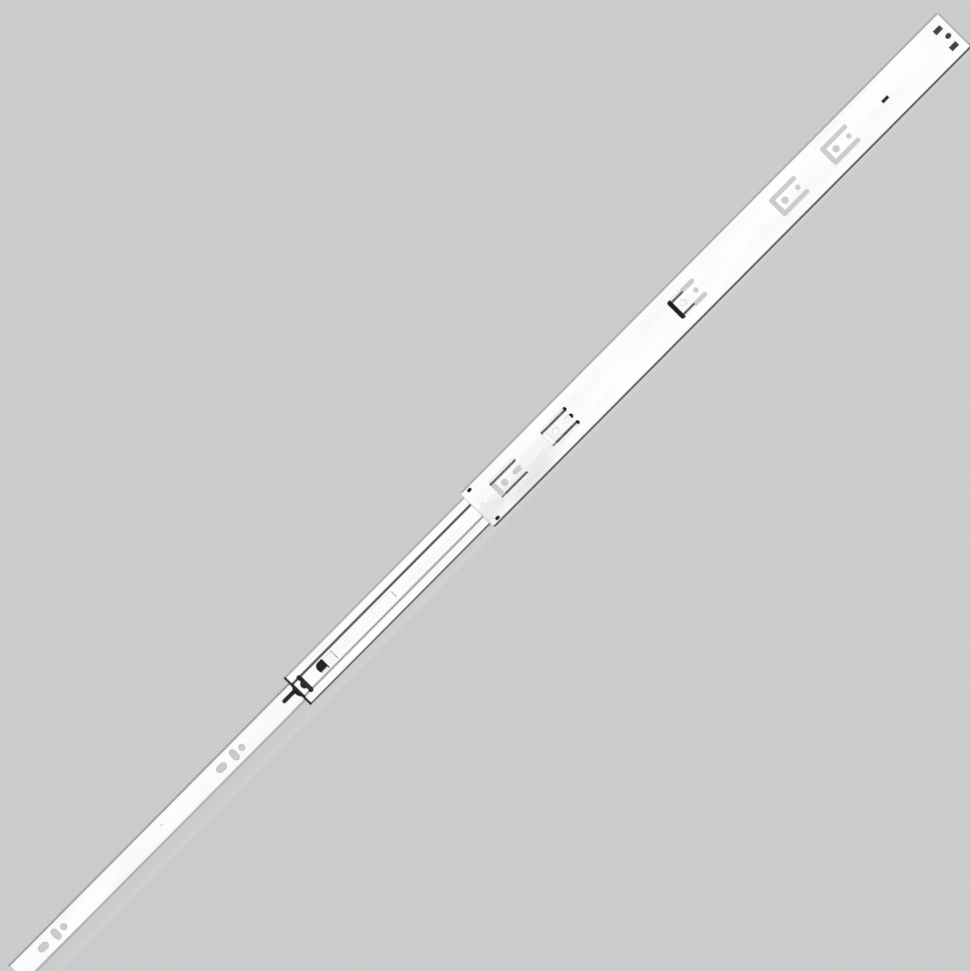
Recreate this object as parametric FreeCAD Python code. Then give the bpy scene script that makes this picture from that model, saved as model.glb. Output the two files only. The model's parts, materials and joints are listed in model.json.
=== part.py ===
import FreeCAD, Part
import math
import os
from FreeCAD import Vector

# Cabinet drawer slide, full extension, drawn fully extended, in millimetres.
# +X runs into the cabinet, +Y from the cabinet side to the drawer, +Z is up.
# The origin is on the face screwed to the cabinet, at its front end, at half height.

# Overall sizes
cabinet_length = 600.0          # cabinet member, end to end
cabinet_height = 43.6           # over its two flanges
slide_thickness = 12.7          # cabinet face to drawer face
middle_travel = 224.0           # how far the intermediate member runs out of the cabinet member
middle_rear_room = 110.0        # closed, intermediate member to the cabinet member's rear end
drawer_rear_room = 23.0         # closed, drawer member to the cabinet member's rear end
travel_shortfall = 22.0         # full travel falls this far short of the cabinet member's length

# Sheet and clearances
sheet = 1.2                     # steel strip of all three members
race_clearance = 0.06           # ball to race, per side
end_gap = 0.3                   # between stops that meet
fit_gap = 0.1                   # plastic piece to the slot that holds it, per side
seat_gap = 0.05                 # plastic piece to the web it sits on
cut_margin = 1.0                # cutters run this far past what they cut
merge = 0.2                     # pieces of one body run this far into each other
touch = 0.001                   # or this far, where they only meet

# Ball races, places in the cross-section
outer_ball = 4.0
inner_ball = 4.76
inner_ball_ahead = 1.0          # inner balls nearer the drawer than the outer balls
cabinet_lip_turn = 105.0        # how far the free edge wraps round the outer balls
race_depth = 0.52               # race pressed into the intermediate member's flange
race_blend = 1.2                # bend between a flat flange and its race
drawer_race_depth = 0.61
drawer_race_blend = 0.8

# Bends of the three members
recess_depth = 1.7              # of the intermediate member's web, towards the drawer
recess_half_width = 6.35
step_angle = 40.0
step_radius = 1.2
middle_bend = 1.4
middle_flange_run = 0.065
middle_lip_bend = 1.4
middle_lip_run = 0.3
cabinet_bend = 2.0
drawer_bend = 1.5
drawer_edge_run = 0.3

# Screw tongues of the cabinet member
hole_pitch = 32.0
first_hole = 35.0
last_hole_room = 140.0          # at least this much behind the last tongue's big hole
slotted_tongues = 2             # this many at the front have a slot in place of the small hole
tongue_half_width = 6.2
tongue_slot_width = 4.1
tongue_front_slot = 4.5
tongue_front = 10.9             # hole to the front edge of its slot
tongue_rear = 21.2              # hole to the rear end of its slot
tongue_front_inset = 1.5        # front slot narrower than the tongue and its slots, per side
big_hole = 6.4
small_hole = 4.6
small_hole_offset = 16.0
small_slot_length = 10.4

# Front end of the cabinet member
corner_cut = 1.8
cage_hole_x = 8.2
cage_hole_inset = 1.04          # inside the line of the outer balls
cage_hole_length = 4.8
cage_hole_width = 3.0
cage_tab_over = 0.4             # tab past the cage foot that it stops
cage_tab_width = 2.6
small_window_inset = 4.2        # inside the lower cage hole
small_window_length = 4.5
small_window_width = 2.6
dimple_x = 7.7
dimple_diameter = 3.8
dimple_depth = 0.35

# Rear end of the cabinet member
rear_slot_inset = 11.1
rear_slot_length = 8.3
rear_slot_width = 4.8
rear_slot_z = 10.0
rear_round_inset = 8.2
rear_round_length = 5.8
rear_round_width = 4.6
buffer_slot_inset = 87.3
buffer_slot_length = 7.6
buffer_slot_width = 3.0

# Intermediate member, distances from its front end
bumper_bar_front = 6.4
bumper_bar_rear = 10.4
bumper_knob_radius = 2.3
bumper_knob_gap = 0.15          # knob to the drawer member's flange
bumper_nose_radius = 3.9
bumper_nose_x = 7.5
window_front = 24.5
window_rear = 34.1
window_half = 5.3
window_corner = 4.4
ramp_start = 34.9
ramp_end = 44.5
ramp_half_width = 4.9
ramp_rise = 1.4
ramp_slit = 0.5
ramp_wall = 0.9
coin_front = 95.4
coin_rear = 119.4
coin_half = 4.5
coin_depth = 0.35
coin_slit = 0.7
coin_slit_half = 3.1
access_front = 246.5
access_rear = 278.7
access_half = 6.0
access_corner = 2.0
rear_window_inset = 17.3        # rear end to the middle of the window
rear_window_length = 6.0
rear_window_half = 6.1
rear_window_corner = 2.0
cage_pip_inset = 4.0
cage_pip_diameter = 4.0
cage_pip_edge = 4.5             # pip to the intermediate member's upper or lower edge

# Drawer member, distances from its front end
drawer_group_steps = (0, 7)
drawer_slot_x = 33.0
drawer_slot_length = 9.8
drawer_slot_width = 5.9
drawer_upright_x = 49.0
drawer_upright_length = 10.3
drawer_upright_width = 5.3
drawer_hole_x = 58.5
drawer_hole = 5.2
drawer_dimple_x = 183.6
drawer_dimple_z = 1.8
drawer_dimple_diameter = 2.0
cage_stop_length = 3.0
cage_stop_gap = 0.6             # cage stop to the intermediate member's web

# Ball cages
cage_thickness = 0.6
outer_foot_gap = 0.3            # cage to the sheet on each side
outer_web_gap = 0.4             # cage to the recessed web of the intermediate member
outer_web_inset = 0.5           # its recess narrower than the web's, per side
outer_rail_bend = 0.9
outer_rail_reach = 1.8          # past the ball centres
outer_bridge_front = 117.4
outer_bridge_inset = 7.3        # rear end of the bridge to the rear end of the cage
outer_foot_width = 2.9
inner_cage_thickness = 0.5
inner_foot_gap = 0.4
inner_web_gap = 0.15            # over the recessed web
inner_web_outset = 0.5
inner_bridge_length = 9.0
inner_rail_bend = 0.7
inner_rail_reach = 1.9
pocket_cut = 1.8                # cutter of a pocket, through one rail
pocket_clearance = 0.06
ball_pitch = 9.0
group_inset = 8.0               # cage end to the first ball
end_group_count = 6
middle_group_count = 3

# Release lever, distances from its pivot
lever_swing = 4.2               # degrees, the arm's rear end downwards
pivot_behind_front = 4.6        # pivot behind the intermediate member's front end
hub_side_gap = 0.8              # hub to the drawer member's flanges
lever_front_gap = 0.5           # lever to what it passes over
lever_back_gap = 0.15           # lever to the drawer member's web
tail_root = 4.0
tail_reach = 22.4
tail_thickness = 3.8
tail_z = 2.0
tail_drop = 0.3                 # tail thinner than the hub
arm_reach = 45.6
arm_top = 5.4
arm_bottom = -3.2
arm_corner = 1.5
catch_front = 40.3
catch_gap = 0.8                 # catch to the recessed web
catch_top = -2.2
catch_side_gap = 0.96           # swung down, catch to the drawer member's flange
leaf_root = 28.2
leaf_root_width = 1.8
leaf_tip = 13.5
leaf_thickness = 0.9
leaf_root_side_gap = 3.1        # leaf root to the drawer member's flange
leaf_heel = 0.65
leaf_tip_side_gap = 1.8
leaf_front_drop = 0.6
leaf_back_gap = 0.3
rivet_shank = 4.0
rivet_running_gap = 0.1
rivet_head = 7.0
rivet_head_height = 1.1
rivet_head_sink = 0.3
rivet_rim = 0.4
rivet_flare = 6.0
rivet_flare_depth = 1.0

# Plastic end pieces
front_plate = 2.0
front_plate_gap = 0.5           # to the drawer member running through it
front_pad_length = 14.0
front_pad_height = 1.8
front_pad_side_gap = 1.3        # pad to the drawer member's flanges
front_pad_chamfer = 0.6
front_boss_depth = 0.6          # boss behind the intermediate member's outer face
rear_bumper_length = 20.8
rear_bumper_half = 15.5
rear_bumper_base = 2.2
rear_bumper_height = 8.6
rear_bumper_wall = 7.5
rear_wall_corner = 1.5
rear_arm_half = 8.2
rear_arm_width = 2.6
rear_arm_drop = 0.6
tang_recess = 0.4               # tangs stop this far short of the cabinet face
buffer_rear_overlap = 4.0
buffer_half = 5.6
buffer_base = 1.3
buffer_post = 4.0
buffer_post_height = 4.2
buffer_post_round = 1.2

# Worked out from the sizes above
middle_length = cabinet_length - middle_rear_room
drawer_length = cabinet_length - drawer_rear_room
drawer_travel = cabinet_length - travel_shortfall - middle_travel
middle_front = -middle_travel
middle_rear = middle_front + middle_length
drawer_front = middle_front - drawer_travel
drawer_rear = drawer_front + drawer_length
half_sheet = sheet / 2
outer_ball_z = cabinet_height / 2 - sheet - race_clearance - outer_ball / 2
outer_race = outer_ball / 2 + race_clearance + half_sheet
race_turn = math.acos(1 - race_depth / (outer_race + race_blend))
race_half = (outer_race + race_blend) * math.sin(race_turn)
middle_shoulder_y = sheet + 2 * outer_foot_gap + cage_thickness
middle_bend_end = middle_shoulder_y + half_sheet + middle_bend
outer_ball_y = middle_bend_end + middle_flange_run + race_half
inner_ball_y = outer_ball_y + inner_ball_ahead
bulge_radius = outer_race + half_sheet
ball_spacing = bulge_radius + race_clearance + inner_ball / 2
inner_ball_z = outer_ball_z - math.sqrt(ball_spacing ** 2 - inner_ball_ahead ** 2)
inner_race = inner_ball / 2 + race_clearance + half_sheet
middle_height = 2 * (outer_ball_z - outer_ball / 2 - race_clearance + race_depth)
drawer_height = 2 * (inner_ball_z - inner_ball / 2 - race_clearance + drawer_race_depth)
middle_web_y = middle_shoulder_y + recess_depth + half_sheet
middle_inner_face = middle_web_y + half_sheet
middle_flange_z = middle_height / 2 - half_sheet
drawer_web_y = slide_thickness - half_sheet
drawer_inner_face = drawer_web_y - half_sheet
drawer_flange_z = drawer_height / 2 - half_sheet
drawer_room = drawer_height / 2 - sheet
pivot_x = middle_front + pivot_behind_front
cage_hole_z = outer_ball_z - cage_hole_inset
small_window_z = small_window_inset - cage_hole_z
tab_x = cage_hole_x - cage_hole_length / 2
outer_cage_front = tab_x + end_gap
outer_cage_rear = middle_rear - cage_pip_inset - cage_pip_diameter / 2 - end_gap
outer_bridge_rear = outer_cage_rear - outer_bridge_inset
inner_cage_front = middle_front + ramp_end + end_gap
inner_cage_rear = drawer_rear - cage_stop_length - end_gap
front_pad_y = middle_inner_face + front_pad_height
hub_radius = drawer_room - hub_side_gap
bumper_bar_half = drawer_room - bumper_knob_gap - bumper_knob_radius
hub_front_y = front_pad_y + lever_front_gap
arm_front_y = middle_inner_face + ramp_rise + lever_front_gap
catch_front_y = middle_inner_face + catch_gap
rivet_head_y = hub_front_y + rivet_head_sink
catch_bottom = catch_side_gap + arm_reach * math.sin(math.radians(lever_swing)) - drawer_room
leaf_root_z = leaf_root_side_gap + leaf_thickness - drawer_room
leaf_tip_z = leaf_tip_side_gap + leaf_thickness - drawer_room
last_step = int((cabinet_length - last_hole_room - first_hole) // hole_pitch)
tongue_steps = (0, 2, (last_step + 1) // 2, last_step - 2, last_step)
tongue_holes = [first_hole + step * hole_pitch for step in tongue_steps]
through_low = -cut_margin       # cutters through the cabinet member's web
through_high = sheet + cut_margin


def box(x0, x1, y0, y1, z0, z1):
    return Part.makeBox(x1 - x0, y1 - y0, z1 - z0, Vector(x0, y0, z0))


def rod(x, z, diameter, y0, y1):
    return Part.makeCylinder(diameter / 2, y1 - y0, Vector(x, y0, z), Vector(0, 1, 0))


def obround(x, z, length, width, y0, y1, upright=False):
    # Slot with round ends, its length along X, or along Z when upright.
    reach = (length - width) / 2
    dx, dz = (0, reach) if upright else (reach, 0)
    wide = width / 2
    hx, hz = (wide, reach) if upright else (reach, wide)
    middle = box(x - hx, x + hx, y0, y1, z - hz, z + hz)
    ends = [rod(x + s * dx, z + s * dz, width, y0, y1) for s in (-1, 1)]
    return middle.multiFuse(ends).removeSplitter()


def rounded(x0, x1, z_half, corner, y0, y1, corners="all"):
    # Window about the centre line with its corners rounded, all four or the two at the front.
    block = box(x0, x1, y0, y1, -z_half, z_half)
    edges = []
    for edge in block.Edges:
        along_y = abs(edge.BoundBox.YLength - (y1 - y0)) < 1e-6
        at_front = edge.BoundBox.XMax < (x0 + x1) / 2
        if along_y and (corners == "all" or at_front):
            edges.append(edge)
    return block.makeFillet(corner, edges)


def walk(start, heading, moves):
    # States (y, z, heading) at the end of each run or bend of a centre line in the Y-Z plane.
    y, z = start
    states = [(y, z, heading)]
    for kind, size, turn in moves:
        angle = math.radians(heading)
        if kind == "run":
            y += size * math.cos(angle)
            z += size * math.sin(angle)
        else:
            side = 1 if turn > 0 else -1
            cy = y - side * size * math.sin(angle)
            cz = z + side * size * math.cos(angle)
            heading += turn
            angle = math.radians(heading)
            y = cy + side * size * math.sin(angle)
            z = cz - side * size * math.cos(angle)
        states.append((y, z, heading))
    return states


def beside(state, offset, x):
    y, z, heading = state
    angle = math.radians(heading)
    return Vector(x, y - offset * math.sin(angle), z + offset * math.cos(angle))


def channel(half_moves, web_y, thickness, x0, x1):
    # Strip of constant thickness, the same above and below Z = 0, run from x0 to x1.
    # half_moves follow its centre line from the middle of the web to the upper free edge.
    end_y, end_z, end_heading = walk((web_y, 0.0), 90.0, half_moves)[-1]
    moves = list(reversed(half_moves)) + list(half_moves)
    start = (end_y, -end_z)
    heading = 180.0 - end_heading
    states = walk(start, heading, moves)
    sides = []
    for offset in (thickness / 2, -thickness / 2):
        edges = []
        for i, (kind, size, turn) in enumerate(moves):
            a = beside(states[i], offset, x0)
            b = beside(states[i + 1], offset, x0)
            if kind == "run":
                edges.append(Part.makeLine(a, b))
            else:
                half = walk(states[i][:2], states[i][2], [(kind, size, turn / 2)])[-1]
                edges.append(Part.Arc(a, beside(half, offset, x0), b).toShape())
        sides.append(edges)
    first = Part.makeLine(beside(states[0], thickness / 2, x0), beside(states[0], -thickness / 2, x0))
    last = Part.makeLine(beside(states[-1], thickness / 2, x0), beside(states[-1], -thickness / 2, x0))
    wire = Part.Wire(Part.__sortEdges__(sides[0] + [last] + sides[1] + [first]))
    return Part.Face(wire).extrude(Vector(x1 - x0, 0, 0))


def run(length):
    return ("run", length, 0.0)


def bend(radius, turn):
    return ("bend", radius, turn)


def step(drop, radius, angle):
    # S-shaped step of the web towards the cabinet.
    rise = 2 * radius * (1 - math.cos(math.radians(angle)))
    slope = (drop - rise) / math.sin(math.radians(angle))
    return [bend(radius, angle), run(slope), bend(radius, -angle)]


def step_width(drop, radius, angle):
    a = math.radians(angle)
    slope = (drop - 2 * radius * (1 - math.cos(a))) / math.sin(a)
    return 2 * radius * math.sin(a) + slope * math.cos(a)


def race_angle(depth, race_radius, blend):
    return math.acos(1 - depth / (race_radius + blend))


def race_half_width(depth, race_radius, blend):
    return (race_radius + blend) * math.sin(race_angle(depth, race_radius, blend))


def race(depth, race_radius, blend, side):
    # Race pressed into a flat flange: blend, arc round the balls, blend.
    half = math.degrees(race_angle(depth, race_radius, blend))
    return [bend(blend, -side * half), bend(race_radius, side * 2 * half), bend(blend, -side * half)]


def cabinet_moves():
    flange_z = cabinet_height / 2 - half_sheet
    return [
        run(flange_z - cabinet_bend),
        bend(cabinet_bend, -90.0),
        run(outer_ball_y - half_sheet - cabinet_bend),
        bend(outer_race, -cabinet_lip_turn),
    ]


def middle_moves():
    shoulder = recess_half_width + step_width(recess_depth, step_radius, step_angle)
    return (
        [run(recess_half_width)]
        + step(recess_depth, step_radius, step_angle)
        + [run(middle_flange_z - middle_bend - shoulder), bend(middle_bend, -90.0)]
        + [run(middle_flange_run)]
        + race(race_depth, outer_race, race_blend, 1)
        + [bend(middle_lip_bend, -90.0), run(middle_lip_run)]
    )


def drawer_moves():
    half_width = race_half_width(drawer_race_depth, inner_race, drawer_race_blend)
    return (
        [run(drawer_flange_z - drawer_bend), bend(drawer_bend, 90.0)]
        + [run(drawer_web_y - drawer_bend - inner_ball_y - half_width)]
        + race(drawer_race_depth, inner_race, drawer_race_blend, -1)
        + [run(drawer_edge_run)]
    )


def drawer_edge_y():
    return walk((drawer_web_y, 0.0), 90.0, drawer_moves())[-1][0]


def corner_prisms(x, towards, half_height, cut):
    # Two wedges that trim the upper and lower corners of an end by a 45 degree cut.
    wedges = []
    over = cut_margin
    for side in (-1, 1):
        z = side * half_height
        points = [
            Vector(x - towards * over, -over, z - side * (cut + over)),
            Vector(x - towards * over, -over, z + side * over),
            Vector(x + towards * (cut + over), -over, z + side * over),
        ]
        points.append(points[0])
        face = Part.Face(Part.makePolygon(points))
        wedges.append(face.extrude(Vector(0, slide_thickness, 0)))
    return wedges


def tongue_cutters(index, x):
    y0, y1 = through_low, through_high
    outer = tongue_half_width + tongue_slot_width
    front = x - tongue_front
    rear = x + tongue_rear
    across = outer - tongue_front_inset
    cutters = [box(front, front + tongue_front_slot, y0, y1, -across, across)]
    for side in (-1, 1):
        z = side * (tongue_half_width + tongue_slot_width / 2)
        cutters.append(obround((front + rear) / 2, z, rear - front, tongue_slot_width, y0, y1))
    cutters.append(rod(x, 0, big_hole, y0, y1))
    if index < slotted_tongues:
        cutters.append(obround(x + small_hole_offset, 0, small_slot_length, small_hole, y0, y1))
    else:
        cutters.append(rod(x + small_hole_offset, 0, small_hole, y0, y1))
    return cutters


def dimple(x, z, diameter, depth, y, into):
    # Shallow ball-shaped recess in a face at height y, going the way of into.
    radius = (diameter ** 2 / 4 + depth ** 2) / (2 * depth)
    return Part.makeSphere(radius, Vector(x, y - into * (radius - depth), z))


def cabinet_member():
    body = channel(cabinet_moves(), half_sheet, sheet, 0.0, cabinet_length)
    y0, y1 = through_low, through_high
    cutters = []
    for index, x in enumerate(tongue_holes):
        cutters += tongue_cutters(index, x)
    for side in (-1, 1):
        cutters.append(
            obround(cage_hole_x, side * cage_hole_z, cage_hole_length, cage_hole_width, y0, y1)
        )
        x = cabinet_length - rear_slot_inset
        z = side * rear_slot_z
        cutters.append(
            box(x - rear_slot_length / 2, x + rear_slot_length / 2, y0, y1,
                z - rear_slot_width / 2, z + rear_slot_width / 2)
        )
    cutters.append(
        box(cage_hole_x - small_window_length / 2, cage_hole_x + small_window_length / 2, y0, y1,
            small_window_z - small_window_width / 2, small_window_z + small_window_width / 2)
    )
    cutters.append(
        obround(cabinet_length - rear_round_inset, 0, rear_round_length, rear_round_width, y0, y1)
    )
    x = cabinet_length - buffer_slot_inset
    cutters.append(
        box(x - buffer_slot_length / 2, x + buffer_slot_length / 2, y0, y1,
            -buffer_slot_width / 2, buffer_slot_width / 2)
    )
    cutters.append(dimple(dimple_x, 0, dimple_diameter, dimple_depth, 0.0, 1))
    cutters += corner_prisms(0.0, 1, cabinet_height / 2, corner_cut)
    cutters += corner_prisms(cabinet_length, -1, cabinet_height / 2, corner_cut)
    body = body.cut(cutters)
    tabs = []
    tab_top = sheet + outer_foot_gap + cage_thickness + cage_tab_over
    for side in (-1, 1):
        z = side * cage_hole_z
        tabs.append(
            box(tab_x - sheet, tab_x, half_sheet, tab_top,
                z - cage_tab_width / 2, z + cage_tab_width / 2)
        )
    return body.multiFuse(tabs).removeSplitter()


def bumper_outline(gap, y0, y1):
    # Bar with a round knob at each end and a round nose towards the front.
    x0 = middle_front + bumper_bar_front + gap
    x1 = middle_front + bumper_bar_rear - gap
    bar = box(x0, x1, y0, y1, -bumper_bar_half, bumper_bar_half)
    knob_x = x1 - bumper_knob_radius + gap
    nose_x = middle_front + bumper_nose_x
    knobs = [
        rod(knob_x, side * bumper_bar_half, 2 * (bumper_knob_radius - gap), y0, y1) for side in (-1, 1)
    ]
    nose = rod(nose_x, 0, 2 * (bumper_nose_radius - gap), y0, y1)
    beyond = 2 * bumper_nose_radius
    nose = nose.cut(box(x1, x1 + beyond, y0 - cut_margin, y1 + cut_margin, -beyond, beyond))
    return bar.multiFuse(knobs + [nose]).removeSplitter()


def ramp_wedge(half_width, y_low, rise):
    x0 = middle_front + ramp_start
    x1 = middle_front + ramp_end
    points = [
        Vector(x0, y_low, -half_width),
        Vector(x1, y_low, -half_width),
        Vector(x1, y_low + rise, -half_width),
        Vector(x0, y_low, -half_width),
    ]
    return Part.Face(Part.makePolygon(points)).extrude(Vector(0, 0, 2 * half_width))


def middle_member():
    body = channel(middle_moves(), middle_web_y, sheet, middle_front, middle_rear)
    outer_face = middle_web_y - half_sheet
    y0, y1 = middle_shoulder_y - cut_margin, middle_inner_face + cut_margin
    body = body.fuse(ramp_wedge(ramp_half_width, middle_inner_face - touch, ramp_rise))
    slit_x = middle_front + ramp_end
    coin_x0 = middle_front + coin_front
    coin_x1 = middle_front + coin_rear
    window_x = middle_rear - rear_window_inset
    cutters = [
        bumper_outline(0.0, y0, y1),
        rounded(middle_front + window_front, middle_front + window_rear,
                window_half, window_corner, y0, y1, "front"),
        ramp_wedge(ramp_half_width - ramp_wall, outer_face, ramp_rise),
        box(slit_x, slit_x + ramp_slit, y0, y1, -ramp_half_width, ramp_half_width),
        box(coin_x0, coin_x1, y0, outer_face + coin_depth, -coin_half, coin_half),
        box(coin_x1, coin_x1 + coin_slit, y0, y1, -coin_slit_half, coin_slit_half),
        rounded(middle_front + access_front, middle_front + access_rear,
                access_half, access_corner, y0, y1),
        rounded(window_x - rear_window_length / 2, window_x + rear_window_length / 2,
                rear_window_half, rear_window_corner, y0, y1),
    ]
    body = body.cut(cutters)
    pip_top = sheet + outer_foot_gap
    pips = [
        rod(middle_rear - cage_pip_inset, side * (middle_height / 2 - cage_pip_edge),
            cage_pip_diameter, pip_top, middle_shoulder_y + half_sheet)
        for side in (-1, 1)
    ]
    return body.multiFuse(pips).removeSplitter()


def drawer_member():
    body = channel(drawer_moves(), drawer_web_y, sheet, drawer_front, drawer_rear)
    y0, y1 = drawer_inner_face - cut_margin, slide_thickness + cut_margin
    cutters = []
    for steps in drawer_group_steps:
        x = drawer_front + steps * hole_pitch
        cutters.append(
            obround(x + drawer_slot_x, 0, drawer_slot_length, drawer_slot_width, y0, y1)
        )
        cutters.append(
            obround(x + drawer_upright_x, 0, drawer_upright_length, drawer_upright_width, y0, y1, True)
        )
        cutters.append(rod(x + drawer_hole_x, 0, drawer_hole, y0, y1))
    cutters.append(
        dimple(drawer_front + drawer_dimple_x, drawer_dimple_z, drawer_dimple_diameter,
               dimple_depth, drawer_inner_face, 1)
    )
    cutters.append(rod(pivot_x, 0, rivet_shank, y0, y1))
    cutters.append(rivet_cone())
    body = body.cut(cutters)
    edge_y = drawer_edge_y()
    stop_y = middle_shoulder_y + sheet + cage_stop_gap
    stops = []
    for side in (-1, 1):
        z0, z1 = sorted((side * drawer_room, side * drawer_height / 2))
        stops.append(box(drawer_rear - cage_stop_length, drawer_rear, stop_y, edge_y + merge, z0, z1))
    return body.multiFuse(stops).removeSplitter()


def balls(group, diameter, y, z):
    spheres = [Part.makeSphere(diameter / 2, Vector(x, y, z)) for x in group]
    return Part.makeCompound(spheres)


def from_front(cage_front, count):
    return [cage_front + group_inset + i * ball_pitch for i in range(count)]


def from_rear(cage_rear, count):
    return [cage_rear - group_inset - i * ball_pitch for i in range(count)]


def about(centre, count):
    return [centre + (i - (count - 1) / 2) * ball_pitch for i in range(count)]


def outer_groups():
    centre = (outer_cage_front + outer_cage_rear) / 2
    return {
        "front": from_front(outer_cage_front, end_group_count),
        "middle": about(centre, middle_group_count),
        "rear": from_rear(outer_cage_rear, end_group_count),
    }


def inner_groups():
    return {
        "front": from_front(inner_cage_front, end_group_count),
        "rear": from_rear(inner_cage_rear, end_group_count),
    }


def pockets(groups, diameter, y, z):
    # Round pockets through both rails, one per ball.
    radius = diameter / 2 + pocket_clearance
    cutters = []
    for group in groups.values():
        for x in group:
            for side in (-1, 1):
                foot = Vector(x, y, side * z - pocket_cut / 2)
                cutters.append(Part.makeCylinder(radius, pocket_cut, foot, Vector(0, 0, 1)))
    return cutters


def outer_cage():
    foot_y = sheet + outer_foot_gap + cage_thickness / 2
    web_y = middle_web_y - half_sheet - outer_web_gap - cage_thickness / 2
    drop = web_y - foot_y
    start = recess_half_width - outer_web_inset
    shoulder = start + step_width(drop, step_radius, step_angle)
    moves = (
        [run(start)]
        + step(drop, step_radius, step_angle)
        + [run(outer_ball_z - outer_rail_bend - shoulder), bend(outer_rail_bend, -90.0)]
        + [run(outer_ball_y + outer_rail_reach - foot_y - outer_rail_bend)]
    )
    body = channel(moves, web_y, cage_thickness, outer_cage_front, outer_cage_rear)
    foot_half = outer_ball_z - outer_foot_width
    y0, y1 = foot_y - cut_margin, web_y + cut_margin
    cutters = [
        box(outer_cage_front - cut_margin, outer_bridge_front, y0, y1, -foot_half, foot_half),
        box(outer_bridge_rear, outer_cage_rear + cut_margin, y0, y1, -foot_half, foot_half),
    ]
    cutters += pockets(outer_groups(), outer_ball, outer_ball_y, outer_ball_z)
    return body.cut(cutters).removeSplitter()


def inner_cage():
    foot_y = middle_shoulder_y + sheet + inner_foot_gap + inner_cage_thickness / 2
    web_y = middle_inner_face + inner_web_gap + inner_cage_thickness / 2
    drop = web_y - foot_y
    start = recess_half_width + inner_web_outset
    shoulder = start + step_width(drop, step_radius, step_angle)
    moves = (
        [run(start)]
        + step(drop, step_radius, step_angle)
        + [run(inner_ball_z - inner_rail_bend - shoulder), bend(inner_rail_bend, -90.0)]
        + [run(inner_ball_y + inner_rail_reach - foot_y - inner_rail_bend)]
    )
    body = channel(moves, web_y, inner_cage_thickness, inner_cage_front, inner_cage_rear)
    foot_half = drawer_room
    cutters = [
        box(inner_cage_front + inner_bridge_length, inner_cage_rear - inner_bridge_length,
            foot_y - cut_margin, web_y + cut_margin, -foot_half, foot_half)
    ]
    cutters += pockets(inner_groups(), inner_ball, inner_ball_y, inner_ball_z)
    return body.cut(cutters).removeSplitter()


def rivet_cone():
    top = slide_thickness
    return Part.makeCone(rivet_shank / 2, rivet_flare / 2, rivet_flare_depth,
                         Vector(pivot_x, top - rivet_flare_depth, 0), Vector(0, 1, 0))


def lever_rivet():
    head_end = rivet_head_y + rivet_head_height
    head = rod(pivot_x, 0, rivet_head, rivet_head_y, head_end)
    rim = [e for e in head.Edges if abs(e.BoundBox.YMax - rivet_head_y) < 1e-6]
    head = head.makeFillet(rivet_rim, rim[:1])
    shank = rod(pivot_x, 0, rivet_shank, head_end - merge, slide_thickness)
    return head.multiFuse([shank, rivet_cone()]).removeSplitter()


def plate(points, y0, y1):
    # Flat plate between y0 and y1 from (distance behind the pivot, height) points.
    corners = [Vector(pivot_x + x, y0, z) for x, z in points]
    corners.append(corners[0])
    return Part.Face(Part.makePolygon(corners)).extrude(Vector(0, y1 - y0, 0))


def release_lever():
    back = drawer_inner_face - lever_back_gap
    hub = rod(pivot_x, 0, 2 * hub_radius, hub_front_y, back)
    tail_length = tail_reach - tail_root
    tail = obround(pivot_x - tail_root - tail_length / 2, tail_z, tail_length, tail_thickness,
                   hub_front_y + tail_drop, back)
    arm = plate([(0, arm_bottom), (arm_reach, arm_bottom), (arm_reach, arm_top - arm_corner),
                 (arm_reach - arm_corner, arm_top), (0, arm_top)], arm_front_y, back)
    catch = plate([(catch_front, catch_bottom), (arm_reach, catch_bottom),
                   (arm_reach, catch_top), (catch_front, catch_top)], catch_front_y, back)
    root_rear = leaf_root + leaf_root_width
    leaf = plate([
        (leaf_root, arm_bottom + merge),
        (root_rear, arm_bottom + merge),
        (root_rear, leaf_root_z - leaf_thickness + leaf_heel),
        (root_rear - leaf_heel, leaf_root_z - leaf_thickness),
        (leaf_tip, leaf_tip_z - leaf_thickness),
        (leaf_tip, leaf_tip_z),
        (leaf_root, leaf_root_z),
    ], arm_front_y + leaf_front_drop, back - leaf_back_gap)
    body = hub.multiFuse([tail, arm, catch, leaf]).removeSplitter()
    bore = rod(pivot_x, 0, rivet_shank + 2 * rivet_running_gap,
               arm_front_y - cut_margin, back + cut_margin)
    seat = rod(pivot_x, 0, rivet_head + 4 * rivet_running_gap,
               arm_front_y - cut_margin, rivet_head_y + rivet_head_height + rivet_running_gap)
    return body.cut([bore, seat]).removeSplitter()


def front_bumper():
    x0 = middle_front - front_plate
    lip_y = middle_lip_edge()
    half = middle_height / 2
    slab = box(x0, middle_front, middle_shoulder_y, lip_y, -half, half)
    corners = [e for e in slab.Edges if abs(e.BoundBox.XLength - front_plate) < 1e-6]
    slab = slab.makeFillet(middle_bend + half_sheet, corners)
    passage_half = drawer_height / 2 + front_plate_gap
    passage = box(x0 - cut_margin, middle_front + cut_margin, drawer_edge_y() - front_plate_gap,
                  lip_y + cut_margin, -passage_half, passage_half)
    pad_half = drawer_room - front_pad_side_gap
    pad = box(x0, middle_front + front_pad_length, middle_inner_face, front_pad_y,
              -pad_half, pad_half)
    nose = box(x0, middle_front, middle_shoulder_y + cut_margin, front_pad_y, -pad_half, pad_half)
    edges = [e for e in pad.Edges
             if e.BoundBox.ZLength > 2 and abs(e.BoundBox.YMax - front_pad_y) < 1e-6]
    pad = pad.makeChamfer(front_pad_chamfer, edges)
    boss = bumper_outline(fit_gap, middle_shoulder_y + front_boss_depth, middle_inner_face + merge)
    body = slab.cut(passage).multiFuse([pad, nose, boss])
    return body.removeSplitter()


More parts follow.
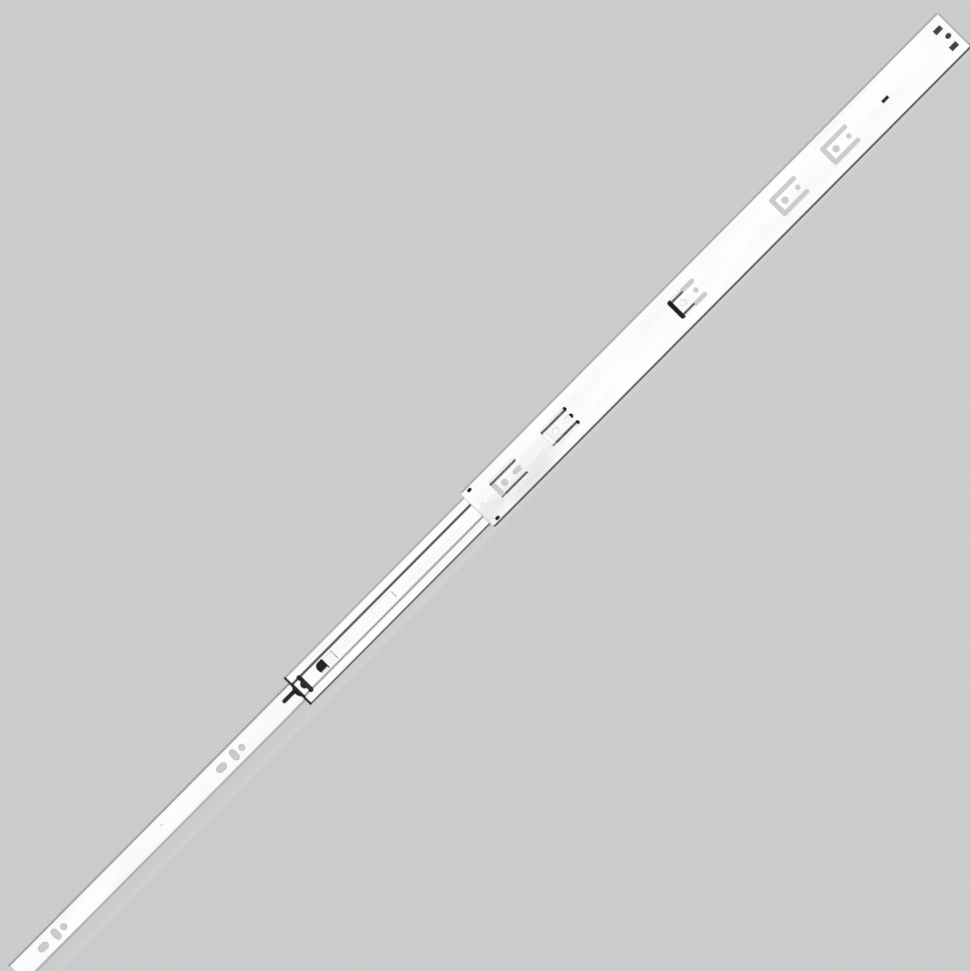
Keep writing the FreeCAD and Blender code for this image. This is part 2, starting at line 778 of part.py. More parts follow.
def middle_lip_edge():
    return max(s[0] for s in walk((middle_web_y, 0.0), 90.0, middle_moves())) + half_sheet


def rear_bumper():
    seat = sheet + seat_gap
    x1 = cabinet_length - corner_cut
    x0 = x1 - rear_bumper_length
    wall_x = x1 - rear_bumper_wall
    base = box(x0, x1, seat, seat + rear_bumper_base, -rear_bumper_half, rear_bumper_half)
    wall = box(wall_x, x1, seat, rear_bumper_height, -rear_bumper_half, rear_bumper_half)
    upright = [e for e in wall.Edges if abs(e.BoundBox.XLength - rear_bumper_wall) < 1e-6]
    wall = wall.makeFillet(rear_wall_corner, upright)
    arms = []
    for side in (-1, 1):
        z0, z1 = sorted((side * rear_arm_half, side * (rear_arm_half - rear_arm_width)))
        arms.append(box(x0, wall_x + cut_margin, seat, rear_bumper_height - rear_arm_drop, z0, z1))
    tangs = []
    x = cabinet_length - rear_slot_inset
    half_length = rear_slot_length / 2 - fit_gap
    half_width = rear_slot_width / 2 - fit_gap
    for side in (-1, 1):
        z = side * rear_slot_z
        tangs.append(box(x - half_length, x + half_length, tang_recess, seat + merge,
                         z - half_width, z + half_width))
    tangs.append(obround(cabinet_length - rear_round_inset, 0, rear_round_length - 2 * fit_gap,
                         rear_round_width - 2 * fit_gap, tang_recess, seat + merge))
    return base.multiFuse([wall] + arms + tangs).removeSplitter()


def middle_buffer():
    seat = sheet + seat_gap
    slot_x = cabinet_length - buffer_slot_inset
    x0 = middle_rear + middle_travel + end_gap
    x1 = slot_x + buffer_slot_length / 2 + buffer_rear_overlap
    base = box(x0, x1, seat, seat + buffer_base, -buffer_half, buffer_half)
    post = box(x0, x0 + buffer_post, seat, seat + buffer_post_height, -buffer_half, buffer_half)
    ridge = [e for e in post.Edges
             if e.BoundBox.ZLength > 2 and abs(e.BoundBox.YMax - seat - buffer_post_height) < 1e-6
             and e.BoundBox.XMax > x0 + 1]
    post = post.makeFillet(buffer_post_round, ridge[-1:])
    half_length = buffer_slot_length / 2 - fit_gap
    half_width = buffer_slot_width / 2 - fit_gap
    tang = box(slot_x - half_length, slot_x + half_length, tang_recess, seat + merge,
               -half_width, half_width)
    return base.multiFuse([post, tang]).removeSplitter()


def parts():
    made = {
        "cabinet_member": cabinet_member(),
        "intermediate_member": middle_member(),
        "drawer_member": drawer_member(),
        "outer_ball_cage": outer_cage(),
        "inner_ball_cage": inner_cage(),
        "release_lever": release_lever(),
        "lever_rivet": lever_rivet(),
        "front_bumper": front_bumper(),
        "rear_bumper": rear_bumper(),
        "intermediate_buffer": middle_buffer(),
    }
    for row, side in (("upper", 1), ("lower", -1)):
        for place, group in outer_groups().items():
            made[f"outer_balls_{row}_{place}"] = balls(group, outer_ball, outer_ball_y, side * outer_ball_z)
        for place, group in inner_groups().items():
            made[f"inner_balls_{row}_{place}"] = balls(group, inner_ball, inner_ball_y, side * inner_ball_z)
    return made


os.makedirs("parts", exist_ok=True)
for name, shape in parts().items():
    shape.exportStep(f"parts/{name}.step")
    box_of = shape.optimalBoundingBox()
    print(f"{name}: {len(shape.Solids)} solid(s), valid {shape.isValid()}, {shape.Volume:.0f} mm3, "
          f"X {box_of.XMin:.1f}..{box_of.XMax:.1f} Y {box_of.YMin:.2f}..{box_of.YMax:.2f} "
          f"Z {box_of.ZMin:.1f}..{box_of.ZMax:.1f}")
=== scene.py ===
import json
import math

import bpy
import numpy as np
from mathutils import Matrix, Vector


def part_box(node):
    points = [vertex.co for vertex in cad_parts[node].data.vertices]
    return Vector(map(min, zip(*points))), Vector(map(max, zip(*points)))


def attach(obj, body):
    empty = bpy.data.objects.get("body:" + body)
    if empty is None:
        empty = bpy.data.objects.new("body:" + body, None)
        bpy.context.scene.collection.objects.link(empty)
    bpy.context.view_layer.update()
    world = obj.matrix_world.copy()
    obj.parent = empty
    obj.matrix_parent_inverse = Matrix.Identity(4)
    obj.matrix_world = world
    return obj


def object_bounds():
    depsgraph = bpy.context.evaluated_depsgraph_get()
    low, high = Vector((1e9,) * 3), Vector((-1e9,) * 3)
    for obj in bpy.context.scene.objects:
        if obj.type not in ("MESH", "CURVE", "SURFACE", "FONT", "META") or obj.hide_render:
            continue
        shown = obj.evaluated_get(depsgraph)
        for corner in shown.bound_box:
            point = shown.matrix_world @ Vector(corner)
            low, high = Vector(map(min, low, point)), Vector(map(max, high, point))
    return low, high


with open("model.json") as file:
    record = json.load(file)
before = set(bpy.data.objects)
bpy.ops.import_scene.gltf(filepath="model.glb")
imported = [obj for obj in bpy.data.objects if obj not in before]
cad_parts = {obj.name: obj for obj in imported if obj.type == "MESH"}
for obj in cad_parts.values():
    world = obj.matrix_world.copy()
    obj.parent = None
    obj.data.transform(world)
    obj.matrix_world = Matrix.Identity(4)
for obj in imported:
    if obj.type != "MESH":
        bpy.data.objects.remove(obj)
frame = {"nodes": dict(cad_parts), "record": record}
cadBox = [list(corner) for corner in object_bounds()]   # the CAD model's own box, before any piece is added

mm = 0.001
slideMembers = ("cabinet_member", "intermediate_member", "drawer_member")
ballNodes = [name for name in frame["nodes"] if "_balls_" in name]
cageNodes = ("outer_ball_cage", "inner_ball_cage")
bumperNodes = ("front_bumper", "intermediate_buffer")


# A shader socket that takes part in Python arithmetic. Each operator adds one Math node.
class Signal:
    def __init__(self, shop, socket):
        self.shop = shop
        self.socket = socket

    def reckon(self, operation, first, second=0.0):
        return self.shop.node("ShaderNodeMath", {"operation": operation}, {0: first, 1: second}).out("Value")

    def __add__(self, other):
        return self.reckon("ADD", self, other)

    def __radd__(self, other):
        return self.reckon("ADD", other, self)

    def __sub__(self, other):
        return self.reckon("SUBTRACT", self, other)

    def __rsub__(self, other):
        return self.reckon("SUBTRACT", other, self)

    def __mul__(self, other):
        return self.reckon("MULTIPLY", self, other)

    def __rmul__(self, other):
        return self.reckon("MULTIPLY", other, self)

    def __truediv__(self, other):
        return self.reckon("DIVIDE", self, other)

    def __pow__(self, other):
        return self.reckon("POWER", self, other)

    def __abs__(self):
        return self.reckon("ABSOLUTE", self)

    def root(self):
        return self.reckon("SQRT", self)

    def atMost(self, other):
        return self.reckon("MINIMUM", self, other)

    def atLeast(self, other):
        return self.reckon("MAXIMUM", self, other)

    # 0 below start, 1 above end, and smooth between them, also the other way round when start is the larger
    def ramp(self, start, end):
        settings = {"interpolation_type": "SMOOTHSTEP"}
        if start < end:
            inputs = {"Value": self, "From Min": start, "From Max": end}
            return self.shop.node("ShaderNodeMapRange", settings, inputs).out("Result")
        return 1.0 - self.ramp(end, start)


# One node, whose outputs come back as signals
class Placed:
    def __init__(self, shop, node):
        self.shop = shop
        self.node = node

    def out(self, name):
        return Signal(self.shop, self.node.outputs[name])


# The node tree of one material or world
class Shop:
    def __init__(self, tree):
        self.tree = tree
        self.tree.nodes.clear()

    # Any node: its type, its settings, which go in first, and the values or links of its sockets
    def node(self, kind, settings=None, inputs=None):
        made = self.tree.nodes.new(kind)
        for name, value in (settings or {}).items():
            setattr(made, name, value)
        for name, value in (inputs or {}).items():
            self.feed(made.inputs[name], value)
        return Placed(self, made)

    def feed(self, socket, value):
        if isinstance(value, Signal):
            self.tree.links.new(value.socket, socket)
        else:
            socket.default_value = value

    def place(self):
        return self.node("ShaderNodeTexCoord").out("Object")

    def split(self, vector):
        parts = self.node("ShaderNodeSeparateXYZ", inputs={0: vector})
        return parts.out("X"), parts.out("Y"), parts.out("Z")

    def stretch(self, vector, scale):
        return self.node("ShaderNodeVectorMath", {"operation": "MULTIPLY"}, {0: vector, 1: scale}).out("Vector")

    def noise(self, vector, scale, detail, rough):
        inputs = {"Vector": vector, "Scale": scale, "Detail": detail, "Roughness": rough}
        return self.node("ShaderNodeTexNoise", None, inputs).out("Fac")

    def mix(self, share, first, second):
        inputs = {"Factor": share, 6: first, 7: second}
        return self.node("ShaderNodeMix", {"data_type": "RGBA"}, inputs).out(2)

    # Normal softened round sharp edges
    def rounded(self, radius):
        return self.node("ShaderNodeBevel", {"samples": 4}, {"Radius": radius}).out("Normal")

    def bump(self, height, depth, under=None):
        inputs = {"Height": height, "Distance": depth, "Strength": 1.0}
        if under is not None:
            inputs["Normal"] = under
        return self.node("ShaderNodeBump", None, inputs).out("Normal")


def rgba(colour):
    return (*colour, 1.0)


def newMaterial(name):
    made = bpy.data.materials.new(name)
    made.use_nodes = True
    return made, Shop(made.node_tree)


def finishMaterial(shop, inputs):
    surface = shop.node("ShaderNodeBsdfPrincipled", None, inputs).out("BSDF")
    shop.node("ShaderNodeOutputMaterial", None, {"Surface": surface})


# Line of one row of balls, read from its node: the row's middle in Y and Z, and the ball's radius
def ballLine(name):
    low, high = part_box(name)
    return (low[1] + high[1]) / 2, (low[2] + high[2]) / 2, (high[1] - low[1]) / 2


outerLine = ballLine("outer_balls_upper_front")
innerLine = ballLine("inner_balls_upper_front")

zincValues = {
    "bright": (0.93, 0.93, 0.93),        # clear zinc plate
    "milky": (0.78, 0.78, 0.79),         # where the plating has hazed over
    "greased": (0.62, 0.60, 0.55),       # oiled ball track
    "rough": 0.25,
    "roughSpread": 0.06,
    "smoothest": 0.08,
    "streakScale": (7.0, 900.0, 900.0),  # rolling streaks along the strip, per metre
    "streakNoise": (4.0, 0.6),           # detail and roughness of the noise, here and below
    "streakMilk": 0.15,                  # most haze that the streaks add, and where in the noise it sets in
    "streakReach": (0.45, 0.75),
    "cloudScale": (14.0, 60.0, 60.0),
    "cloudNoise": (3.0, 0.5),
    "cloudMilk": 0.25,
    "cloudReach": (0.38, 0.72),
    "grainScale": 1400.0,
    "grainNoise": (2.0, 0.6),
    "grainShare": 0.6,                   # of the finest bump; the streaks make the rest
    "grainDepth": 0.012 * mm,
    "waveDepth": 0.10 * mm,              # slow waviness of rolled strip
    "edgeRound": 0.30 * mm,
    "endRoll": 0.9 * mm,                 # sheared ends roll over within this
    "endDepth": 0.55 * mm,
    "trackGap": 0.06 * mm,               # play between ball and track
    "trackReach": (0.32 * mm, 0.10 * mm),
    "trackGrease": 0.75,                 # share of the oiled colour on a track
    "trackPolish": 0.45,                 # share of the roughness that the balls take away
    "bent": (0.42, 0.42, 0.43),          # painted shade round the bends, also on the step and at the rear end
    "bendReach": (2.1 * mm, 1.1 * mm),   # from the edge, where the painted shade starts and is full
    "handled": (0.74, 0.74, 0.745),      # grey of the patches near the front
    "cutReach": (1.5 * mm, 0.7 * mm),    # from the cabinet member's rear end, where the painted shade starts and is full
    "stepMiddle": 7.4 * mm,              # the pressed step on each side of the intermediate member
    # from the step's middle, where its painted shade starts and is full
    "stepReach": (1.3 * mm, 0.6 * mm),
}


# Zinc-plated strip: streaks run along X, clouds of haze lie over them, the ball tracks are polished and
# oiled, shade is painted along the bends, and the two sheared ends roll over. Every pattern is a function of
# the place in the slide's frame. haze is for the cabinet member: its grey front patches and painted shade at
# its rear end. stepAt is for the intermediate member's pressed step, which gets painted shade too.
def zincSheet(name, low, high, haze=None, stepAt=None):
    values = zincValues
    material, shop = newMaterial(name)
    place = shop.place()
    x, y, z = shop.split(place)
    streaks = shop.noise(shop.stretch(place, values["streakScale"]), 1.0, *values["streakNoise"])
    clouds = shop.noise(shop.stretch(place, values["cloudScale"]), 1.0, *values["cloudNoise"])
    grain = shop.noise(place, values["grainScale"], *values["grainNoise"])
    milk = values["cloudMilk"] * clouds.ramp(*values["cloudReach"])
    milk = milk + values["streakMilk"] * streaks.ramp(*values["streakReach"])
    colour = shop.mix(milk, rgba(values["bright"]), rgba(values["milky"]))
    # Soft grey patches towards the cabinet member's front end and lower edge
    if haze is not None:
        colour = shop.mix(haze(shop, x, z, clouds), colour, rgba(values["handled"]))
    track = ballTrack(shop, y, z, outerLine).atLeast(ballTrack(shop, y, z, innerLine))
    colour = shop.mix(values["trackGrease"] * track, colour, rgba(values["greased"]))
    # Painted shade: the colour darkens within about 2 mm of each long edge, where the strip bends
    toEdge = (high[2] - abs(z)).atLeast(0.0)
    bent = toEdge.ramp(*values["bendReach"])
    # Painted shade at the cabinet member's rear end, within 1.5 mm of it
    if haze is not None:
        bent = bent.atLeast((high[0] - x).ramp(*values["cutReach"]))
    # Painted shade along the intermediate member's pressed step
    if stepAt is not None:
        bent = bent.atLeast(abs(abs(z) - stepAt).ramp(*values["stepReach"]))
    colour = shop.mix(bent, colour, rgba(values["bent"]))
    rough = values["rough"] + values["roughSpread"] * (streaks + clouds - 1.0)
    rough = (rough * (1.0 - values["trackPolish"] * track)).atLeast(values["smoothest"])
    fine = values["grainShare"] * grain + (1.0 - values["grainShare"]) * streaks
    roll = endRoll(shop, x, (low[0], high[0]))
    normal = shop.bump(roll, values["endDepth"], shop.rounded(values["edgeRound"]))
    normal = shop.bump(clouds, values["waveDepth"], normal)
    normal = shop.bump(fine, values["grainDepth"], normal)
    finishMaterial(shop, {"Base Color": colour, "Metallic": 1.0, "Roughness": rough, "Normal": normal})
    return material


# 1 on the surfaces that the balls run on: those one ball radius from either ball line
def ballTrack(shop, y, z, line):
    middleY, middleZ, radius = line
    away = ((y - middleY) ** 2.0 + (abs(z) - abs(middleZ)) ** 2.0).root()
    return abs(away - (radius + zincValues["trackGap"])).ramp(*zincValues["trackReach"])


# Height of the rolled-over ends: 1 on the strip, falling to 0 at each end like a quarter circle
def endRoll(shop, x, ends):
    reach = zincValues["endRoll"]
    inside = (x - ends[0]).atMost(ends[1] - x).atLeast(0.0).atMost(reach) / reach
    return (1.0 - (1.0 - inside) ** 2.0).atLeast(0.0).root()


plasticValues = {
    "colour": (0.004, 0.004, 0.0042),
    "scuffed": (0.009, 0.009, 0.0095),
    "specular": 0.16,
    "grainScale": 3200.0,
    "grainNoise": (3.0, 0.6),
    "grainDepth": 0.02 * mm,
    "cloudScale": 160.0,
    "cloudNoise": (3.0, 0.5),
    "cloudReach": (0.45, 0.80),
    "cloudRough": 0.12,        # how far the clouds change the roughness
    "edgeRound": 0.45 * mm,
    "cage": (0.48, 1.0),       # roughness, and how many times lighter than the colours above
    "bumper": (0.42, 1.0),
    # the rear bumper: four times lighter than the other black plastic
    "dustyBumper": (0.50, 4.0),
    "lever": (0.36, 1.0),
}


# Moulded black acetal: spark-eroded grain, faint flow clouds and softened edges
def blackPlastic(name, finish):
    values = plasticValues
    rough, lift = values[finish]
    material, shop = newMaterial(name)
    place = shop.place()
    grain = shop.noise(place, values["grainScale"], *values["grainNoise"])
    clouds = shop.noise(place, values["cloudScale"], *values["cloudNoise"])
    plain, scuffed = [rgba(np.array(values[key]) * lift) for key in ("colour", "scuffed")]
    finishMaterial(shop, {
        "Base Color": shop.mix(clouds.ramp(*values["cloudReach"]), plain, scuffed),
        "Roughness": rough + values["cloudRough"] * (clouds - 0.5),
        "Normal": shop.bump(grain, values["grainDepth"], shop.rounded(values["edgeRound"])),
        "Specular IOR Level": values["specular"],
    })
    return material


ballValues = {
    "colour": (0.74, 0.74, 0.75),
    "oiled": (0.60, 0.58, 0.53),
    "rough": 0.07,
    "filmRough": 0.16,         # more under the oil
    "filmScale": 420.0,
    "filmNoise": (3.0, 0.55),
    "filmReach": (0.45, 0.65),
    "filmDepth": 0.01 * mm,
}


# Polished chrome steel with a film of oil that gathers in patches
def ballSteel(name):
    values = ballValues
    material, shop = newMaterial(name)
    patches = shop.noise(shop.place(), values["filmScale"], *values["filmNoise"])
    film = patches.ramp(*values["filmReach"])
    finishMaterial(shop, {
        "Base Color": shop.mix(film, rgba(values["colour"]), rgba(values["oiled"])),
        "Metallic": 1.0,
        "Roughness": values["rough"] + values["filmRough"] * film,
        "Normal": shop.bump(film, values["filmDepth"]),
    })
    return material


rivetValues = {
    "colour": (0.72, 0.73, 0.75),
    "dull": (0.50, 0.50, 0.51),
    "rough": 0.25,
    "cloudRough": 0.18,
    "cloudScale": 700.0,
    "cloudNoise": (3.0, 0.6),
    "cloudReach": (0.40, 0.75),
    "ringPitch": 0.35 * mm,
    "ringDepth": 0.03 * mm,
}


# Turned and headed rivet: fine rings about its axis, which runs along Y
def rivetSteel(name, axisX):
    values = rivetValues
    material, shop = newMaterial(name)
    place = shop.place()
    x, _, z = shop.split(place)
    radius = ((x - axisX) ** 2.0 + z ** 2.0).root()
    rings = radius.reckon("PINGPONG", radius, values["ringPitch"]) / values["ringPitch"]
    clouds = shop.noise(place, values["cloudScale"], *values["cloudNoise"])
    dull = clouds.ramp(*values["cloudReach"])
    finishMaterial(shop, {
        "Base Color": shop.mix(dull, rgba(values["colour"]), rgba(values["dull"])),
        "Metallic": 1.0,
        "Roughness": values["rough"] + values["cloudRough"] * clouds,
        "Normal": shop.bump(rings, values["ringDepth"]),
    })
    return material


rimValues = {
    "halfWidth": 0.26 * mm,
    "proud": 0.12 * mm,                  # above the sheet, and as much below it
    "around": 64,
    "across": 10,
    "sheet": 1.2 * mm,
    "uprightSlot": (5.3 * mm, 10.3 * mm),     # width and height
    "colour": (0.52, 0.52, 0.53),
    "bright": (0.78, 0.78, 0.79),
    "rough": 0.22,
    "dragRough": 0.20,
    "dragScale": 900.0,
    "dragNoise": (3.0, 0.6),
    "dragReach": (0.40, 0.70),
}


# A bead round a slot. Its path lies in X and Z at one height in Y: a circle, r (cos t, sin t), with its two
# halves moved apart by the straight part. An ellipse of halfWidth by proud is carried along it.
def beadAround(centre, radius, straight, alongZ, halfWidth, proud, around, across):
    turn = (np.arange(around) + 0.5) * (2 * np.pi / around)
    lie = np.stack([np.cos(turn), np.sin(turn)], axis=-1)
    path = (radius + halfWidth) * lie + np.sign(lie[:, :1]) * np.array([straight / 2, 0.0])
    if alongZ:
        path, lie = path[:, ::-1] * [-1, 1], lie[:, ::-1] * [-1, 1]
    swing = np.arange(across) * (2 * np.pi / across)
    flat = path[:, None, :] + halfWidth * np.cos(swing)[None, :, None] * lie[:, None, :]
    rise = np.broadcast_to(proud * np.sin(swing), flat.shape[:2])
    return np.stack([centre[0] + flat[..., 0], centre[1] + rise, centre[2] + flat[..., 1]], axis=-1)


# Several closed beads in one mesh: each is a grid that wraps both ways, and its faces are numbered on from
# the last
def beadPiece(name, beads, body, material):
    rows, columns = beads[0].shape[:2]
    index = np.arange(rows * columns).reshape(rows, columns)
    ahead, aside = np.roll(index, -1, axis=0), np.roll(index, -1, axis=1)
    faces = np.stack([index, ahead, np.roll(ahead, -1, axis=1), aside], axis=-1).reshape(-1, 4)
    starts = np.arange(len(beads)) * rows * columns
    faces = (faces[None] + starts[:, None, None]).reshape(-1, 4)
    points = np.concatenate([bead.reshape(-1, 3) for bead in beads])
    mesh = bpy.data.meshes.new(name)
    mesh.from_pydata(points.tolist(), [], faces.tolist())
    mesh.shade_smooth()
    mesh.materials.append(material)
    piece = bpy.data.objects.new(name, mesh)
    bpy.context.scene.collection.objects.link(piece)
    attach(piece, body)


# Bare sheared steel with a little zinc dragged over it
def shearedSteel(name):
    values = rimValues
    material, shop = newMaterial(name)
    drag = shop.noise(shop.place(), values["dragScale"], *values["dragNoise"])
    dragged = drag.ramp(*values["dragReach"])
    finishMaterial(shop, {
        "Base Color": shop.mix(dragged, rgba(values["colour"]), rgba(values["bright"])),
        "Metallic": 1.0,
        "Roughness": values["rough"] + values["dragRough"] * drag,
    })
    return material


# Places of one hole pattern along X: count holes, spacing apart, about the middle that the record gives
def patternPlaces(mount):
    count = mount["dims"].get("count", 1)
    spacing = mount["dims"].get("spacing_x_mm", 0.0) * mm
    return mount["pos_m"][0] + (np.arange(count) - (count - 1) / 2) * spacing


# Burr that the punch leaves round each screw hole, on the inner face of the cabinet and drawer members
def buildRims():
    values = rimValues
    mounts = {mount["name"]: mount for mount in frame["record"]["mounts"]}
    sizes = (values["halfWidth"], values["proud"], values["around"], values["across"])
    steel = shearedSteel("sheared_steel")
    levels = {"cabinet": cadBox[0][1] + values["sheet"], "drawer": cadBox[1][1] - values["sheet"]}
    for body, level in levels.items():
        beads = []
        for name, mount in mounts.items():
            radius = mount["dims"].get("hole_r_mm", mount["dims"].get("r_mm"))
            if radius is None or not name.startswith(body):
                continue
            straight = mount["dims"].get("slot_length_mm", 2 * radius) - 2 * radius
            for x in patternPlaces(mount):
                beads.append(beadAround((x, level, 0.0), radius * mm, straight * mm, False, *sizes))
        if body == "drawer":
            width, height = values["uprightSlot"]
            spread = patternPlaces(mounts["drawer_screw_holes"]) - mounts["drawer_screw_holes"]["pos_m"][0]
            for x in mounts["drawer_upright_slots"]["pos_m"][0] + spread:
                beads.append(beadAround((x, level, 0.0), width / 2, height - width, True, *sizes))
        beadPiece(body + "_hole_burrs", beads, body, steel)
    print("burrs round the screw holes")


hubValues = {
    "headSink": 0.3 * mm,      # the rivet head lies this far below the hub's face
    "edgeGap": 0.8 * mm,       # hub to the drawer member's flanges
    "inset": 0.55 * mm,        # middle of the bead, from the hub's edge
    "halfWidth": 0.40 * mm,
    "proud": 0.22 * mm,
    "around": 96,
    "across": 12,
}


# Rounded bead round the face of the lever's hub, about the pivot that the record gives
def buildHubBead(material):
    values = hubValues
    joints = {joint["name"]: joint for joint in frame["record"]["behaviour"]["joints"]}
    pivot = joints["lever_pivot"]["pos_m"]
    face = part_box("lever_rivet")[0][1] - values["headSink"]
    drawerLow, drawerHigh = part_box("drawer_member")
    hubRadius = (drawerHigh[2] - drawerLow[2]) / 2 - rimValues["sheet"] - values["edgeGap"]
    radius = hubRadius - values["inset"] - values["halfWidth"]
    sizes = (values["halfWidth"], values["proud"], values["around"], values["across"])
    bead = beadAround((pivot[0], face, pivot[2]), radius, 0.0, False, *sizes)
    beadPiece("hub_bead", [bead], "lever", material)
    print("bead on the lever's hub")


hazeValues = {
    "most": 0.9,
    "along": (118 * mm, 70 * mm),        # X where the grey begins, and where it is full
    "across": (14 * mm, -12 * mm),       # and the same in Z
    "clouds": (0.30, 0.60),
}


# Soft grey patches on the front end of the cabinet member, greyer towards its lower edge, in clouds
def frontHaze(shop, x, z, clouds):
    values = hazeValues
    film = values["most"] * x.ramp(*values["along"]) * z.ramp(*values["across"])
    return film * clouds.ramp(*values["clouds"])


def dress(name, material):
    node = frame["nodes"][name]
    node.data.materials.clear()
    node.data.materials.append(material)


def dressNodes():
    for name in slideMembers:
        low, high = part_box(name)
        haze = frontHaze if name == "cabinet_member" else None
        stepAt = zincValues["stepMiddle"] if name == "intermediate_member" else None
        dress(name, zincSheet("zinc_" + name, low, high, haze, stepAt))
    balls = ballSteel("ball_steel")
    for name in ballNodes:
        dress(name, balls)
    cages = blackPlastic("cage_plastic", "cage")
    for name in cageNodes:
        dress(name, cages)
    bumpers = blackPlastic("bumper_plastic", "bumper")
    for name in bumperNodes:
        dress(name, bumpers)
    # The rear bumper is four times lighter than the other black plastic
    dress("rear_bumper", blackPlastic("dusty_bumper_plastic", "dustyBumper"))
    lever = blackPlastic("lever_plastic", "lever")
    dress("release_lever", lever)
    low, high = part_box("lever_rivet")
    dress("lever_rivet", rivetSteel("rivet_steel", (low[0] + high[0]) / 2))
    print("materials on", len(frame["nodes"]), "CAD parts")
    return lever


worldValues = {
    "backdrop": (0.60, 0.60, 0.60),      # what the camera sees behind the slide
    "facing": 1.09,                      # light from in front, which the flat webs mirror
    "facingReach": (0.78, 0.97),         # how squarely in front it sets in, and where it is full
    "above": 0.92,
    "below": 0.20,
    "ceilingReach": (-0.15, 0.55),
    "behind": 0.60,
    "behindReach": (0.60, 0.90),
    "sideways": (0.50, 1.00),            # panels beyond the two ends, low down and high up
    "sidewaysFrom": (0.26, 0.60),
    "panelReach": (-0.60, 0.60),
    "forMatt": 1.1,                      # light from the front half, for matt surfaces
    "frontHalf": (0.05, -0.05),
    "fromEnds": 5.5,                     # and more along the slide, from beyond its two ends
    "rearEnd": (0.50, 0.65),             # how far round to the rear end and to the front end it starts
    "frontEnd": (0.72, 0.82),
    "afterMetal": 0.25,                  # share left to light that metal has thrown back
}


# World: plain pale grey to the camera. To metal it is a studio with a bright front, a grey ceiling, a dark
# floor, a softer rear and a panel beyond each end, set by the direction's own X, Y and Z. To matt surfaces
# it is an even front half that is brighter beyond the slide's two ends.
def buildWorld():
    values = worldValues
    world = bpy.data.worlds.new("studio")
    world.use_nodes = True
    world.cycles.sampling_method = "NONE"
    bpy.context.scene.world = world
    shop = Shop(world.node_tree)
    x, y, z = shop.split(shop.node("ShaderNodeTexCoord").out("Generated"))
    level = values["below"] + (values["above"] - values["below"]) * z.ramp(*values["ceilingReach"])
    low, high = values["sideways"]
    panels = low + (high - low) * z.ramp(*values["panelReach"])
    level = level + (panels - level) * abs(x).ramp(*values["sidewaysFrom"])
    level = level + (values["facing"] - level) * (-1.0 * y).ramp(*values["facingReach"])
    level = level + (values["behind"] - level) * y.ramp(*values["behindReach"])
    path = shop.node("ShaderNodeLightPath")
    bounced, mirrored = path.out("Diffuse Depth").atMost(1.0), path.out("Glossy Depth").atMost(1.0)
    ends = x.ramp(*values["rearEnd"]) + (-1.0 * x).ramp(*values["frontEnd"])
    spread = (values["forMatt"] + values["fromEnds"] * ends) * y.ramp(*values["frontHalf"])
    spread = spread * (1.0 - (1.0 - values["afterMetal"]) * mirrored)
    level = level + (spread - level) * bounced
    lit = shop.node("ShaderNodeBackground", None, {"Color": rgba((1.0, 1.0, 1.0)), "Strength": level})
    seen = shop.node("ShaderNodeBackground", None, {"Color": rgba(values["backdrop"]), "Strength": 1.0})
    inputs = {0: path.out("Is Camera Ray"), 1: lit.out("Background"), 2: seen.out("Background")}
    both = shop.node("ShaderNodeMixShader", None, inputs).out("Shader")
    shop.node("ShaderNodeOutputWorld", None, {"Surface": both})


floorValues = {
    "size": 30.0,
    "points": 9,                         # grid points along each side
    "colour": (0.20, 0.20, 0.20),
    "nearGlow": 0.55,                    # share of the floor's own glow by the slide
    "glowReach": (0.5, 1.0),             # metres from the middle between which it becomes all glow
}


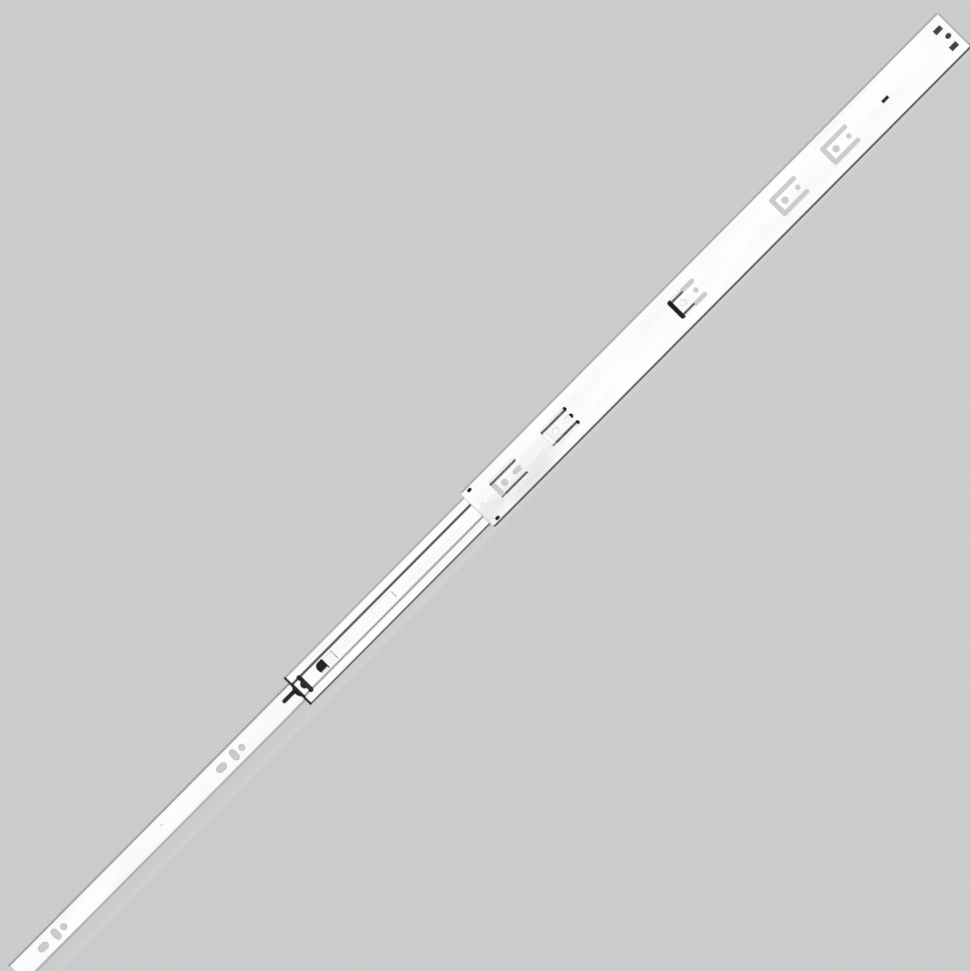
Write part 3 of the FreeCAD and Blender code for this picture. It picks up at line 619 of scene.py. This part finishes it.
# Flat square grid at the foot of the slide: points at even steps of X and Y. It glows in the backdrop's
# colour, and near the slide it also takes light.
def buildFloor():
    values = floorValues
    side = np.linspace(-values["size"] / 2, values["size"] / 2, values["points"])
    across, along = np.meshgrid(side, side, indexing="ij")
    points = np.stack([across, along, np.full_like(across, cadBox[0][2])], axis=-1)
    index = np.arange(across.size).reshape(across.shape)
    corners = [index[:-1, :-1], index[1:, :-1], index[1:, 1:], index[:-1, 1:]]
    mesh = bpy.data.meshes.new("floor")
    faces = np.stack(corners, axis=-1).reshape(-1, 4)
    mesh.from_pydata(points.reshape(-1, 3).tolist(), [], faces.tolist())
    mesh.validate()
    floor = bpy.data.objects.new("floor", mesh)
    bpy.context.scene.collection.objects.link(floor)
    material, shop = newMaterial("pale_floor")
    glow = shop.node("ShaderNodeEmission", None, {"Color": rgba(worldValues["backdrop"]), "Strength": 1.0})
    matt = shop.node("ShaderNodeBsdfDiffuse", None, {"Color": rgba(values["colour"])})
    x, y, _ = shop.split(shop.place())
    away = (x ** 2.0 + y ** 2.0).root().ramp(*values["glowReach"])
    share = values["nearGlow"] + (1.0 - values["nearGlow"]) * away
    inputs = {0: share, 1: matt.out("BSDF"), 2: glow.out("Emission")}
    both = shop.node("ShaderNodeMixShader", None, inputs).out("Shader")
    shop.node("ShaderNodeOutputMaterial", None, {"Surface": both})
    mesh.materials.append(material)
    floor.visible_glossy = False
    floor.visible_diffuse = False
    floor.visible_shadow = False


lampValues = {
    "place": (0.0, -0.4, 3.0),
    "aim": (0.0, 0.0, 0.0),
    "size": (4.0, 4.0),
    "power": 330.0,
}


# Soft overhead light, which metal doesn't mirror
def buildSoftbox():
    values = lampValues
    data = bpy.data.lights.new("overhead", "AREA")
    data.shape = "RECTANGLE"
    data.size, data.size_y = values["size"]
    data.energy = values["power"]
    lamp = bpy.data.objects.new("overhead", data)
    lamp.location = values["place"]
    aim = Vector(values["aim"]) - Vector(values["place"])
    lamp.rotation_euler = aim.to_track_quat("-Z", "Y").to_euler()
    lamp.visible_glossy = False
    bpy.context.scene.collection.objects.link(lamp)


cameraValues = {
    "distance": 8.0,
    "frameWidth": 0.8590,      # width of the view at the slide, in metres
    "aimX": 20.8 * mm,         # middle of the view
    "aimZ": 10.55 * mm,
    "tilt": 45.2,              # degrees by which the slide rises to the right
    "sensor": 36.0,
    "clip": (0.05, 100.0),
}


def buildCamera():
    values = cameraValues
    data = bpy.data.cameras.new("camera")
    data.sensor_width = values["sensor"]
    data.lens = values["sensor"] * values["distance"] / values["frameWidth"]
    data.clip_start, data.clip_end = values["clip"]
    camera = bpy.data.objects.new("camera", data)
    turn = math.radians(values["tilt"])
    right = Vector((math.cos(turn), 0.0, -math.sin(turn)))
    up = Vector((math.sin(turn), 0.0, math.cos(turn)))
    back = Vector((0.0, -1.0, 0.0))
    axes = Matrix((right, up, back)).transposed()
    place = Matrix.Translation((values["aimX"], -values["distance"], values["aimZ"]))
    camera.matrix_world = place @ axes.to_4x4()
    bpy.context.scene.collection.objects.link(camera)
    bpy.context.scene.camera = camera


leverPlastic = dressNodes()
buildRims()
buildHubBead(leverPlastic)
buildWorld()
buildFloor()
buildSoftbox()
buildCamera()
bpy.context.scene.view_settings.view_transform = "Standard"
print("stage, light and camera in place")
